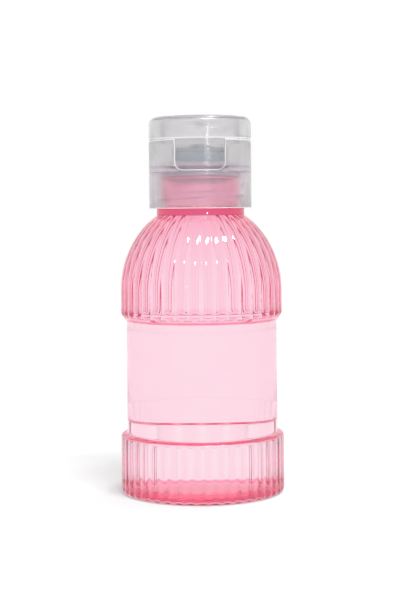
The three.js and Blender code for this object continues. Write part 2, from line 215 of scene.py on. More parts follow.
SPLIT_Z = BASE_TOP + SPLIT_GAP / 2
CAP_THREAD_TOP = THREAD_TOP - (THREAD_ROOT_W + THREAD_CREST_W) / 2 - FLANK_CLEARANCE
CAP_THREAD_TURNS = (CAP_THREAD_TOP - THREAD_ROOT_W / 2 - SKIRT_BOTTOM) / PITCH


# Mesh helpers

class Skin:
    """A surface made of rings round the axis, each joined to the one before it."""

    def __init__(self):
        self.points = []
        self.faces = []
        self.first = None
        self.last = None

    def ring(self, radii, heights, sides):
        """Adds a ring that starts at the front; radii and heights are numbers or one value a side."""
        angle = np.arange(sides) * (2 * math.pi / sides)
        r = np.broadcast_to(radii, sides)
        z = np.broadcast_to(heights, sides)
        start = len(self.points)
        self.points.extend(zip(r * np.sin(angle), -r * np.cos(angle), z))
        new = (start, sides)
        if self.last is not None:
            self.join(self.last, new)
        if self.first is None:
            self.first = new
        self.last = new

    def join(self, low, high):
        (a, m), (b, n) = low, high
        if m == n:
            for j in range(m):
                k = (j + 1) % m
                self.faces.append((a + j, a + k, b + k, b + j))
            return
        step = max(m, n) // min(m, n)
        for j in range(min(m, n)):
            k = (j + 1) % min(m, n)
            for i in range(step):
                one = step * j + i
                two = (one + 1) % max(m, n)
                near = j if i < step // 2 else k
                if m > n:
                    self.faces.append((a + one, a + two, b + near))
                else:
                    self.faces.append((a + near, b + two, b + one))
            middle = step * j + step // 2
            if m > n:
                self.faces.append((a + middle, b + k, b + j))
            else:
                self.faces.append((a + j, a + k, b + middle))

    def pole(self, height, opening):
        """Closes the first ring (opening) or the last ring to a point on the axis."""
        start, sides = self.first if opening else self.last
        tip = len(self.points)
        self.points.append((0.0, 0.0, height))
        for j in range(sides):
            k = (j + 1) % sides
            if opening:
                self.faces.append((tip, start + k, start + j))
            else:
                self.faces.append((start + j, start + k, tip))

    def close(self):
        self.join(self.last, self.first)

    def build(self, name):
        return mesh_object(name, self.points, self.faces)


def scene_object(name, data):
    thing = bpy.data.objects.new(name, data)
    bpy.context.scene.collection.objects.link(thing)
    return thing


def mesh_object(name, points, faces):
    mesh = bpy.data.meshes.new(name)
    mesh.from_pydata([tuple(map(float, p)) for p in points], [], faces)
    mesh.validate()
    return scene_object(name, mesh)


def grid_border(rows, columns):
    """Numbers of the points on the border of a grid, once round."""
    border = list(range(columns))
    border += [i * columns + columns - 1 for i in range(1, rows)]
    border += [(rows - 1) * columns + j for j in range(columns - 2, -1, -1)]
    border += [i * columns for i in range(rows - 2, 0, -1)]
    return border


def mark_faces(piece, name, values):
    """Stores a number for each face, which a material can read."""
    mark = piece.data.attributes.new(name, "FLOAT", "FACE")
    mark.data.foreach_set("value", values)


def smooth(piece):
    mesh = piece.data
    mesh.shade_smooth()
    mesh.set_sharp_from_angle(angle=SHARP_ANGLE)


def boolean(piece, tool, operation):
    """Joins a tool to a piece or cuts it away, and removes the tool."""
    modifier = piece.modifiers.new("boolean", "BOOLEAN")
    modifier.object = tool
    modifier.operation = operation
    modifier.solver = "MANIFOLD"
    bpy.context.view_layer.update()
    graph = bpy.context.evaluated_depsgraph_get()
    mesh = bpy.data.meshes.new_from_object(piece.evaluated_get(graph))
    piece.modifiers.clear()
    piece.data = mesh
    bpy.data.objects.remove(tool)


def rounded(corners, steps=4):
    """A closed outline from (radius, height, fillet) corners, with an arc at each filleted corner."""
    points = []
    count = len(corners)
    for i, (r, z, fillet) in enumerate(corners):
        here = Vector((r, z))
        if fillet == 0:
            points.append((r, z))
            continue
        back = (Vector(corners[i - 1][:2]) - here).normalized()
        ahead = (Vector(corners[(i + 1) % count][:2]) - here).normalized()
        half = back.angle(ahead) / 2
        reach = fillet / math.tan(half)
        centre = here + (back + ahead).normalized() * (fillet / math.sin(half))
        start = here + back * reach - centre
        end = here + ahead * reach - centre
        sweep = start.angle_signed(end)
        for k in range(steps + 1):
            spot = start.copy()
            spot.rotate(Matrix.Rotation(-sweep * k / steps, 2))
            points.append(tuple(centre + spot))
    return points


# Bottle

def grooves(ribs, sides, power, soft):
    """For each side of a ring: 0 on a rib's crest and 1 in a softened groove. A groove lies at the front."""
    turn = np.arange(sides) * ribs / sides
    away = 2 * np.abs(turn - np.round(turn))
    return (1 - (np.hypot(away, soft) - soft) / (math.hypot(1, soft) - soft)) ** power


def rib_end(share, groove, reach):
    """Height of a rib that rounds off like a bullet, as a share of its full height."""
    crest, valley = reach
    end = crest + (valley - crest) * groove
    return np.sqrt(np.clip(1 - (share / end) ** 2, 0, 1))


def foot_radii(z, groove):
    if z < FOOT_EDGE:
        lean = 1 - z / FOOT_EDGE
        return FOOT_R - FOOT_EDGE * (1 - math.sqrt(1 - lean ** 2)) - FOOT_RIB_DEPTH * groove * (1 - lean)
    if z < FOOT_STRAIGHT_H:
        end = min(1.0, (FOOT_STRAIGHT_H - z) / FOOT_RIB_FADE_H)
        return FOOT_R - FOOT_RIB_DEPTH * groove * math.sqrt(end)
    share = min(1.0, (z - FOOT_STRAIGHT_H) / FOOT_SHOULDER_H)
    return BARREL_R + max(FOOT_STEP * math.sqrt(1 - share ** 2), FOOT_FILLET)


def dome_radii(z, groove):
    if z <= LIP_TOP:
        share = (LIP_TOP - z) / LIP_H
        rib = (DOME_STEP - DOME_RIB_DEPTH * groove) * rib_end(share, groove, LIP_RIB_END)
        lip = (DOME_STEP - DOME_RIB_DEPTH) * math.sqrt(max(0.0, 1 - share ** 2))
        return BARREL_R + np.maximum(np.maximum(rib, lip), LIP_FILLET)
    up = max(0.0, (z - SPRING_Z) / DOME_HALF_H)
    crown = min(1.0, (NECK_Z - z) / DOME_RISE)
    depth = DOME_RIB_DEPTH * math.sqrt(max(0.0, crown))
    return DOME_R * math.sqrt(1 - up ** 2) - depth * groove


def push_up(r):
    """Height of the hollow under the foot at a radius."""
    return PUSH_UP_H * max(0.0, 1 - (r / PUSH_UP_R) ** PUSH_UP_POWER)


def thread_height(z, sides, top, turns, crest):
    """Height of a right-hand thread ridge on a ring, which starts at +X and runs down from its top end."""
    angle = np.arange(sides) / sides - THREAD_START
    height = np.zeros(sides)
    for lap in range(-math.ceil(turns), 1):
        turn = angle + lap
        inside = (turn <= 0) & (turn >= -turns)
        off = np.abs(z - (top + PITCH * turn))
        flank = (THREAD_ROOT_W - THREAD_CREST_W) / 2
        ridge = ease(np.clip((THREAD_ROOT_W / 2 - off) / flank, 0, 1))
        lead = np.clip(np.minimum(-turn, turns + turn) / THREAD_LEAD, 0, 1)
        height = np.maximum(height, np.where(inside, crest * ridge * lead, 0))
    return height


def ease(t):
    return t * t * (3 - 2 * t)


def inner_profile(grow, top):
    """Inside of the bottle from a height in the neck down to the floor, grown by a small overlap."""
    foot_r = FOOT_R - FOOT_RIB_DEPTH - FOOT_WALL + grow
    barrel_r = BARREL_R - WALL + grow
    dome_r = DOME_R - DOME_RIB_DEPTH - DOME_WALL + grow
    bore_r = BORE_R + grow
    half_h = DOME_HALF_H - DOME_TOP_WALL + grow
    floor_z = FLOOR_T - grow
    rise = half_h * math.sqrt(1 - (bore_r / dome_r) ** 2)
    flare_h = INNER_FLARE_UP + INNER_FLARE_DOWN
    profile = [(bore_r, top)]
    for t in np.linspace(math.asin(rise / half_h), 0, INNER_DOME_ROWS):
        profile.append((dome_r * math.cos(t), SPRING_Z + half_h * math.sin(t)))
    for t in np.linspace(0, 1, INNER_ROUND_ROWS):
        r = dome_r + (barrel_r - dome_r) * ease(t)
        profile.append((r, LIP_TOP + LIP_WALL - LIP_H * t))
    for t in np.linspace(0, 1, INNER_FLARE_ROWS):
        r = barrel_r + (foot_r - barrel_r) * ease(t)
        profile.append((r, BARREL_Z + INNER_FLARE_UP - flare_h * t))
    for t in np.linspace(0, math.pi / 2, INNER_ROUND_ROWS):
        r = foot_r - FLOOR_CORNER * (1 - math.cos(t))
        profile.append((r, floor_z + FLOOR_CORNER * (1 - math.sin(t))))
    for share in reversed(PUSH_UP_SHARES):
        profile.append((PUSH_UP_R * share, floor_z + push_up(PUSH_UP_R * share)))
    return profile, floor_z + PUSH_UP_H


def bottle():
    skin = Skin()
    # Push-up under the foot, with the gate mark at its middle
    for share in GATE_SHARES:
        skin.ring(share * GATE_R, PUSH_UP_H - GATE_H * (share < 1), COARSE)
    for share in PUSH_UP_SHARES:
        skin.ring(PUSH_UP_R * share, push_up(PUSH_UP_R * share), COARSE)
    skin.ring((PUSH_UP_R + FOOT_R - FOOT_EDGE) / 2, 0, COARSE)
    # Ribbed foot
    groove = grooves(FOOT_RIBS, FINE, FOOT_RIB_POWER, FOOT_GROOVE_SOFT)
    for t in np.linspace(0, math.pi / 2, HEEL_ROWS):
        z = FOOT_EDGE * (1 - math.cos(t))
        skin.ring(foot_radii(z, groove), z, FINE)
    for t in np.linspace(1, 0, RIB_FADE_ROWS)[:-1]:
        z = FOOT_STRAIGHT_H - FOOT_RIB_FADE_H * t ** 2
        skin.ring(foot_radii(z, groove), z, FINE)
    for t in np.linspace(0, math.pi / 2, STEP_ROWS):
        z = FOOT_STRAIGHT_H + FOOT_SHOULDER_H * math.sin(t)
        skin.ring(foot_radii(z, groove), z, FINE)
    # Plain barrel with a small fillet at both ends
    for t in np.linspace(0, math.pi / 2, FILLET_ROWS)[1:]:
        r = BARREL_R + FOOT_FILLET * (1 - math.sin(t))
        skin.ring(r, BARREL_Z + FOOT_FILLET * (1 - math.cos(t)), FINE)
    for t in np.linspace(math.pi / 2, 0, FILLET_ROWS)[:-1]:
        r = BARREL_R + LIP_FILLET * (1 - math.sin(t))
        skin.ring(r, LIP_Z - LIP_FILLET * (1 - math.cos(t)), FINE)
    # Ribbed dome
    groove = grooves(DOME_RIBS, FINE, DOME_RIB_POWER, DOME_GROOVE_SOFT)
    for t in np.linspace(math.pi / 2, 0, STEP_ROWS):
        z = LIP_TOP - LIP_H * math.sin(t)
        skin.ring(dome_radii(z, groove), z, FINE)
    for t in np.linspace(0, math.asin(DOME_RISE / DOME_HALF_H), DOME_ROWS):
        z = SPRING_Z + DOME_HALF_H * math.sin(t)
        skin.ring(dome_radii(z, groove), z, FINE)
    # Neck ring and threaded neck
    skin.ring(NECK_RING_R, NECK_Z + EDGE_ROUND, COARSE)
    for t in np.linspace(0, math.pi / 2, FILLET_ROWS):
        r = NECK_RING_R - EDGE_ROUND * (1 - math.cos(t))
        skin.ring(r, NECK_RING_TOP - EDGE_ROUND * (1 - math.sin(t)), COARSE)
    skin.ring(NECK_R + EDGE_ROUND, NECK_RING_TOP, COARSE)
    for z in np.linspace(NECK_RING_TOP + EDGE_ROUND, RIM_Z - EDGE_ROUND, NECK_ROWS):
        skin.ring(NECK_R + thread_height(z, COARSE, THREAD_TOP, THREAD_TURNS, THREAD_H), z, COARSE)
    for t in np.linspace(RIM_FIRST_TURN, math.pi / 2, RIM_ROWS):
        r = NECK_R - EDGE_ROUND * (1 - math.cos(t))
        skin.ring(r, RIM_Z - EDGE_ROUND * (1 - math.sin(t)), COARSE)
    for t in np.linspace(math.pi / 2, 0, FILLET_ROWS):
        r = BORE_R + EDGE_ROUND * (1 - math.cos(t))
        skin.ring(r, RIM_Z - EDGE_ROUND * (1 - math.sin(t)), COARSE)
    # Inside
    profile, floor_z = inner_profile(0, FILL_Z)
    skin.ring(*profile[0], COARSE)
    dry = len(skin.faces)
    for r, z in profile[1:]:
        skin.ring(r, z, COARSE)
    skin.pole(floor_z, opening=False)
    wet = len(skin.faces)
    skin.pole(PUSH_UP_H - GATE_H, opening=True)
    piece = skin.build("pink_bottle")
    mark_faces(piece, "wet", [float(dry <= i < wet) for i in range(len(skin.faces))])
    smooth(piece)
    return piece


def liquid():
    profile, floor_z = inner_profile(LIQUID_OVERLAP, FILL_Z)
    skin = Skin()
    skin.ring(profile[-1][0], floor_z, COARSE)
    for r, z in reversed(profile[1:-1]):
        skin.ring(r, z, COARSE)
    bore_r = profile[0][0]
    skin.ring(bore_r, FILL_Z, COARSE)
    flat = MENISCUS_SHARES[-1]
    for share in MENISCUS_SHARES:
        dip = 1 - ((share - flat) / (1 - flat)) ** 2
        skin.ring(bore_r * share, FILL_Z - MENISCUS * dip, COARSE)
    skin.pole(floor_z, opening=True)
    skin.pole(FILL_Z - MENISCUS, opening=False)
    piece = skin.build("cologne_fill")
    smooth(piece)
    return piece


# Cap

def turned(name, outline):
    """A closed outline of (radius, height) points turned about the axis; a radius may be one value a side."""
    skin = Skin()
    for r, z in outline:
        skin.ring(r, z, CAP_SIDES)
    skin.close()
    return skin.build(name)


def liner():
    low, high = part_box("sealing_liner")
    outline = rounded([
        (high.x, low.z, LINER_EDGE),
        (high.x, high.z, LINER_EDGE),
        (LINER_HOLE_R, high.z, LINER_EDGE),
        (LINER_HOLE_R, low.z, LINER_EDGE),
    ])
    piece = turned("foam_liner", outline)
    smooth(piece)
    return piece


def cap_outline():
    edge = EDGE_ROUND
    fine = edge / 2
    tower_in = TOWER_R - TOWER_WALL
    roof = TOWER_TOP - TOWER_WALL
    outline = rounded([
        (CAP_R, CAP_BOTTOM, edge),
        (CAP_R, BASE_TOP, edge),
        (UPPER_IN_R, BASE_TOP, fine),
        (UPPER_IN_R, DECK_TOP, edge),
        (TOWER_R + TOWER_FLARE, DECK_TOP, edge),
        (TOWER_R, DECK_TOP + TOWER_FLARE, edge),
        (TOWER_R, TOWER_TOP, edge),
        (NOZZLE_R, TOWER_TOP, fine),
        (NOZZLE_R, TOWER_TOP + NOZZLE_H, fine),
        (ORIFICE_R, TOWER_TOP + NOZZLE_H, fine),
        (ORIFICE_R, roof, fine),
        (tower_in, roof, edge),
        (tower_in, DECK_Z, edge),
        (SKIRT_R, DECK_Z, 0),
        (SKIRT_R, SKIRT_BOTTOM, 0),
        (SKIRT_OUT_R, SKIRT_BOTTOM, fine),
        (SKIRT_OUT_R, DECK_Z, edge),
        (SHELL_IN_R, DECK_Z, edge),
        (SHELL_IN_R, CAP_BOTTOM, fine),
    ])
    top = outline.index((SKIRT_R, DECK_Z))
    threaded = []
    for z in np.linspace(DECK_Z, SKIRT_BOTTOM, THREAD_ROWS):
        ridge = thread_height(z, CAP_SIDES, CAP_THREAD_TOP, CAP_THREAD_TURNS, CAP_THREAD_H)
        threaded.append((SKIRT_R - ridge, z))
    return outline[:top] + threaded + outline[top + 2:]


def recess_layer(margin, radius, top, rows=24, columns=20):
    """A grid over the thumb recess outline, laid on an upright cylinder at the front of the cap."""
    low = BASE_TOP - RECESS_H - margin
    corner = RECESS_CORNER + margin
    full = RECESS_W / 2 + margin
    grid = []
    for i in range(rows + 1):
        if i <= rows // 2:
            turn = math.pi / 2 * i / (rows // 2)
            z = low + corner * (1 - math.cos(turn))
            half = full - corner * (1 - math.sin(turn))
        else:
            z = low + corner + (top - low - corner) * (i - rows // 2) / (rows - rows // 2)
            half = full
        xs = np.linspace(-half, half, columns + 1)
        grid.append([(x, -math.sqrt(radius ** 2 - x ** 2), z) for x in xs])
    return grid


def recess_solid(name, layers):
    """A closed solid through several recess layers, from the front to the back."""
    rows, columns = len(layers[0]), len(layers[0][0])
    points = [p for layer in layers for row in layer for p in row]
    size = rows * columns
    border = grid_border(rows, columns)
    faces = []
    for k in (0, len(layers) - 1):
        for i in range(rows - 1):
            for j in range(columns - 1):
                a = k * size + i * columns + j
                faces.append((a, a + 1, a + columns + 1, a + columns))
    for k in range(len(layers) - 1):
        for n, point in enumerate(border):
            a = k * size + point
            b = k * size + border[(n + 1) % len(border)]
            faces.append((a, b, b + size, a + size))
    piece = mesh_object(name, points, faces)
    outward(piece)
    return piece


def outward(piece):
    work = bmesh.new()
    work.from_mesh(piece.data)
    bmesh.ops.recalc_face_normals(work, faces=work.faces)
    work.to_mesh(piece.data)
    work.free()


def block(name, size, centre, edge):
    """A box with rounded edges, for joining to a piece or cutting from it."""
    work = bmesh.new()
    bmesh.ops.create_cube(work, size=1)
    bmesh.ops.scale(work, vec=size, verts=work.verts)
    bmesh.ops.translate(work, vec=centre, verts=work.verts)
    if edge > 0:
        bmesh.ops.bevel(work, geom=work.edges, offset=edge, segments=3, profile=0.5, affect="EDGES")
    mesh = bpy.data.meshes.new(name)
    work.to_mesh(mesh)
    work.free()
    return scene_object(name, mesh)


def face_corners(piece):
    return [[piece.data.vertices[i].co for i in face.vertices] for face in piece.data.polygons]


def rim_face(corners, height):
    """1 for a face in the rounded outer edge at a height."""
    near = EDGE_ROUND * EDGE_SLACK
    return float(all(abs(c.z - height) < near and c.xy.length > SHELL_IN_R for c in corners))


def recess_edge_face(corners):
    """1 for a face in the bevel round the thumb recess."""
    near = RECESS_EDGE * EDGE_SLACK
    low = BASE_TOP - RECESS_H - near
    half = RECESS_W / 2 + near
    if not all(c.y < 0 and c.z > low and abs(c.x) < half for c in corners):
        return 0.0
    radii = [c.xy.length for c in corners]
    return float(min(radii) > CAP_R - near and max(radii) - min(radii) > RECESS_EDGE / 2)


def flare_face(corners):
    """1 for a face in the flare at the root of the spout tower, which is painted white as a highlight."""
    low, high = DECK_TOP, DECK_TOP + TOWER_FLARE
    far = TOWER_R + TOWER_FLARE
    return float(all(low < c.z < high and TOWER_R < c.xy.length < far for c in corners))


def hinge_pad(low, high):
    centre = (0, HINGE_Y - HINGE_PAD_T / 2, (low + high) / 2)
    return block("pad", (HINGE_PAD_W, HINGE_PAD_T, high - low), centre, EDGE_ROUND)


def hinge_flat():
    size = (CAP_R, 2 * HINGE_FLAT_DEPTH, 2 * HINGE_FLAT_HALF_H)
    return block("flat", size, (0, HINGE_Y + HINGE_FLAT_DEPTH, SPLIT_Z), 0)


def cap_highlight_face(corners):
    """1 for a face in one of the cap base's edges, which are painted white as highlights."""
    rims = max(rim_face(corners, BASE_TOP), rim_face(corners, CAP_BOTTOM))
    return max(rims, recess_edge_face(corners), flare_face(corners))


def cap_base():
    piece = turned("cap_base_shell", cap_outline())
    pad_low = SPLIT_Z - HINGE_FLAT_HALF_H - HINGE_PAD_EXTRA_H
    boolean(piece, hinge_pad(pad_low, BASE_TOP - HINGE_PAD_DIP), "UNION")
    open_top = BASE_TOP + RECESS_H
    pocket = recess_solid("pocket", [
        recess_layer(RECESS_EDGE, CAP_R + CAP_WALL, open_top),
        recess_layer(RECESS_EDGE, CAP_R, open_top),
        recess_layer(0, CAP_R - RECESS_EDGE, open_top),
        recess_layer(0, CAP_R - RECESS_DEPTH + RECESS_EDGE, open_top),
        recess_layer(-RECESS_EDGE, CAP_R - RECESS_DEPTH, open_top),
    ])
    boolean(piece, pocket, "DIFFERENCE")
    boolean(piece, hinge_flat(), "DIFFERENCE")
    # The marked edge faces are painted white as highlights
    mark_faces(piece, "edge", [cap_highlight_face(face) for face in face_corners(piece)])
    smooth(piece)
    return piece


def lid():
    under = LID_EDGE_Z - LID_TOP_T
    pin_r = ORIFICE_R - PIN_CLEARANCE
    pin_tip = TOWER_TOP + NOZZLE_H - PIN_REACH
    spigot_z = BASE_TOP - SPIGOT_DIP
    edge = EDGE_ROUND
    fine = edge / 2
    corners = [
        (pin_r - PIN_TAPER, pin_tip, 0),
        (pin_r, pin_tip + PIN_TAPER, fine),
        (pin_r, under, edge),
        (SPIGOT_R - SPIGOT_WALL, under, edge),
        (SPIGOT_R - SPIGOT_WALL, spigot_z, fine),
        (SPIGOT_R, spigot_z, fine),
        (SPIGOT_R, under, edge),
        (SHELL_IN_R, under, edge),
        (SHELL_IN_R, LID_Z, fine),
        (CAP_R, LID_Z, edge),
        (CAP_R, LID_EDGE_Z, LID_ROUND),
    ]
    top = [(CAP_R * share, LID_TOP - LID_CROWN * share ** 2 * LID_CROWN_FALL, 0) for share in LID_SHARES]
    skin = Skin()
    for r, z in rounded(corners + top, steps=6):
        skin.ring(r, z, CAP_SIDES)
    skin.pole(pin_tip, opening=True)
    skin.pole(LID_TOP, opening=False)
    piece = skin.build("flip_lid_shell")
    pad_high = SPLIT_Z + HINGE_FLAT_HALF_H + HINGE_PAD_EXTRA_H
    boolean(piece, hinge_pad(LID_Z, pad_high), "UNION")
    boolean(piece, hinge_flat(), "DIFFERENCE")
    # The lid's marked rim is painted white as a highlight
    mark_faces(piece, "edge", [rim_face(face, LID_Z) for face in face_corners(piece)])
    smooth(piece)
    return piece


def ribbon(name, node, bow, rows=16, columns=8):
    """A thin sheet of plastic upright in a node's box, thinned at its middle; bow arches it to the back."""
    low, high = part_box(node)
    thick = STRAP_T if bow else high.y - low.y
    points = []
    faces = []
    for side in (0, 1):
        for i in range(rows + 1):
            t = i / rows
            arch = 4 * t * (1 - t)
            z = low.z + (high.z - low.z) * t
            for j in range(columns + 1):
                s = j / columns
                x = low.x + (high.x - low.x) * s
                edge = 1 - (2 * s - 1) ** RIBBON_EDGE_POWER * RIBBON_EDGE_THIN
                y = low.y + (high.y - low.y - thick) * arch
                depth = thick * edge * (1 - RIBBON_MIDDLE_THIN * arch)
                points.append((x, y + side * depth, z))
    size = (rows + 1) * (columns + 1)
    for i in range(rows):
        for j in range(columns):
            a = i * (columns + 1) + j
            b = a + columns + 1
            faces.append((a, a + 1, b + 1, b))
            faces.append((a + size, b + size, b + size + 1, a + size + 1))
    border = grid_border(rows + 1, columns + 1)
    for n, a in enumerate(border):
        b = border[(n + 1) % len(border)]
        faces.append((a, b, b + size, a + size))
    piece = mesh_object(name, points, faces)
    outward(piece)
    smooth(piece)
    return piece


# Materials

WHITE = (1, 1, 1)
PET_COLOUR = (0.98, 0.171, 0.471)
PET_DENSITY = 350
FLOOR_PINK = (1.0, 0.25, 0.42)
RING_PINK = (0.9, 0.62, 0.75)
LIP_PINK = (1.0, 0.4, 0.56)
# Painted shade in the cap base: grey above the deck, a lilac band at the deck, and bluish grey round the
# spout tower
UPPER_PAINTED_SHADE = (0.83, 0.818, 0.828)
DECK_LILAC_SHADE = (0.87, 0.77, 0.865)
TOWER_BLUE_SHADE = (0.79, 0.85, 0.895)
# The base shell's tints are pink: painted pink light from the neck and bottle below, with random tone between
# the two
BASE_TONES_PINK_LIGHT = ((0.985, 0.91, 0.955), (0.995, 0.92, 0.965))
LID_TINTS = ((0.905, 0.893, 0.912), (0.92, 0.908, 0.927))
PP_COLOUR = (0.4, 0.38, 0.4)
BASE_GREY = 20
LID_GREY = 25
NOISE_LOW = 0.3
NOISE_HIGH = 0.7
TINT_BLUR = 0.2 * MM
FLOOR_TINT_R = PUSH_UP_R + 2.0 * MM
FLOOR_TINT_FADE = 1.5 * MM
LIP_TINT_H = LIP_H / 3
# Height of the painted lilac shade band at the deck
DECK_SHADE_H = 1.6 * DECK_T


def math_node(tree, operation, first, second):
    node = tree.nodes.new("ShaderNodeMath")
    node.operation = operation
    tree.links.new(first, node.inputs[0])
    tree.links.new(second, node.inputs[1])
    return node.outputs["Value"]


class Nodes:
    """A new node material with its Principled shader."""

    def __init__(self, name):
        self.material = bpy.data.materials.new(name)
        self.material.use_nodes = True
        self.tree = self.material.node_tree
        self.shader = self.tree.nodes["Principled BSDF"]
        self.output = self.tree.nodes["Material Output"]
        self.place = self.tree.nodes.new("ShaderNodeTexCoord").outputs["Object"]

    def set(self, **values):
        for name, value in values.items():
            self.shader.inputs[name.replace("_", " ")].default_value = value

    def link(self, source, target):
        self.tree.links.new(source, target)

    def noise(self, scale, detail=2.0):
        node = self.tree.nodes.new("ShaderNodeTexNoise")
        node.inputs["Scale"].default_value = scale
        node.inputs["Detail"].default_value = detail
        self.link(self.place, node.inputs["Vector"])
        return node.outputs["Fac"]

    def cells(self, scale):
        node = self.tree.nodes.new("ShaderNodeTexVoronoi")
        node.inputs["Scale"].default_value = scale
        self.link(self.place, node.inputs["Vector"])
        return node.outputs["Distance"]

    def both(self, first, second):
        return math_node(self.tree, "MULTIPLY", first, second)

    def either(self, first, second):
        return math_node(self.tree, "MAXIMUM", first, second)

    def between(self, factor, low, high):
        """A number that goes from low to high as a noise or a mark rises."""
        node = self.tree.nodes.new("ShaderNodeMapRange")
        node.inputs["From Min"].default_value = NOISE_LOW
        node.inputs["From Max"].default_value = NOISE_HIGH
        node.inputs["To Min"].default_value = low
        node.inputs["To Max"].default_value = high
        self.link(factor, node.inputs["Value"])
        return node.outputs["Result"]

    def colours(self, factor, low, high):
        node = self.tree.nodes.new("ShaderNodeValToRGB")
        node.color_ramp.elements[0].position = NOISE_LOW
        node.color_ramp.elements[0].color = (*low, 1)
        node.color_ramp.elements[1].position = NOISE_HIGH
        node.color_ramp.elements[1].color = (*high, 1)
        self.link(factor, node.inputs["Fac"])
        return node.outputs["Color"]

    def bump(self, height, distance, strength):
        node = self.tree.nodes.new("ShaderNodeBump")
        node.inputs["Distance"].default_value = distance
        node.inputs["Strength"].default_value = strength
        self.link(height, node.inputs["Height"])
        self.link(node.outputs["Normal"], self.shader.inputs["Normal"])

    def heights(self, start, end):
        """0 at the start height and beyond it, 1 at the end height and beyond it. Either may be higher."""
        split = self.tree.nodes.new("ShaderNodeSeparateXYZ")
        self.link(self.place, split.inputs["Vector"])
        return self.ramp(split.outputs["Z"], start, end)

    def radii(self, near, far):
        """1 within a radius from the axis and 0 beyond another one."""
        flat = self.tree.nodes.new("ShaderNodeVectorMath")
        flat.operation = "MULTIPLY"
        flat.inputs[1].default_value = (1, 1, 0)
        self.link(self.place, flat.inputs[0])
        away = self.tree.nodes.new("ShaderNodeVectorMath")
        away.operation = "LENGTH"
        self.link(flat.outputs["Vector"], away.inputs[0])
        return self.ramp(away.outputs["Value"], far, near)

    def ramp(self, value, start, end):
        node = self.tree.nodes.new("ShaderNodeMapRange")
        node.inputs["From Min"].default_value = start
        node.inputs["From Max"].default_value = end
        self.link(value, node.inputs["Value"])
        return node.outputs["Result"]

    def marked(self, name):
        """A number that the mesh carries for each face, 0 on a mesh without it."""
        node = self.tree.nodes.new("ShaderNodeAttribute")
        node.attribute_name = name
        return node.outputs["Fac"]

    def mix(self, factor, colour, target):
        node = self.tree.nodes.new("ShaderNodeMix")
        node.data_type = "RGBA"
        self.link(factor, node.inputs["Factor"])
        self.link(colour, node.inputs["A"])
        node.inputs["B"].default_value = (*target, 1)
        return node.outputs["Result"]

    def absorb(self, colour, density):
        node = self.tree.nodes.new("ShaderNodeVolumeAbsorption")
        node.inputs["Color"].default_value = (*colour, 1)
        node.inputs["Density"].default_value = density
        self.link(node.outputs["Volume"], self.output.inputs["Volume"])


def pink_pet():
    """Clear pink plastic, deeper in the floor, the neck ring and the lip, where it is thick."""
    m = Nodes("pink_pet")
    m.set(IOR=1.57, Transmission_Weight=1.0)
    wet = m.marked("wet")
    middle = m.both(m.heights(FLOOR_T + 2 * PUSH_UP_H, FLOOR_T + PUSH_UP_H),
                    m.radii(FLOOR_TINT_R, FLOOR_TINT_R + FLOOR_TINT_FADE))
    corner = m.both(wet, m.heights(FLOOR_T + FLOOR_CORNER, FLOOR_T + FLOOR_CORNER / 2))
    ring = m.both(m.heights(NECK_Z - EDGE_ROUND, NECK_Z + EDGE_ROUND),
                  m.heights(NECK_RING_TOP + EDGE_ROUND, NECK_RING_TOP))
    lip = m.both(m.heights(LIP_Z - LIP_FILLET, LIP_Z), m.heights(LIP_Z + LIP_TINT_H, LIP_Z + LIP_TINT_H / 2))
    colour = m.colours(m.noise(160), (1.0, 0.975, 0.985), (1.0, 0.99, 0.995))
    colour = m.mix(m.either(middle, corner), colour, FLOOR_PINK)
    colour = m.mix(ring, colour, RING_PINK)
    m.link(m.mix(lip, colour, LIP_PINK), m.shader.inputs["Base Color"])
    m.link(m.between(m.noise(900, 3), 0.0, 0.02), m.shader.inputs["Roughness"])
    m.bump(m.noise(220, 1), 0.02 * MM, 0.06)
    m.link(m.between(wet, 1.0, 0.0), m.shader.inputs["Specular Tint"])
    m.absorb(PET_COLOUR, PET_DENSITY)
    return m.material


def cologne_liquid():
    m = Nodes("cologne")
    m.set(IOR=1.36, Transmission_Weight=1.0, Roughness=0.0, Specular_Tint=(0, 0, 0, 1))
    m.link(m.colours(m.noise(40), (0.99, 0.97, 0.98), (1.0, 0.99, 0.99)), m.shader.inputs["Base Color"])
    return m.material


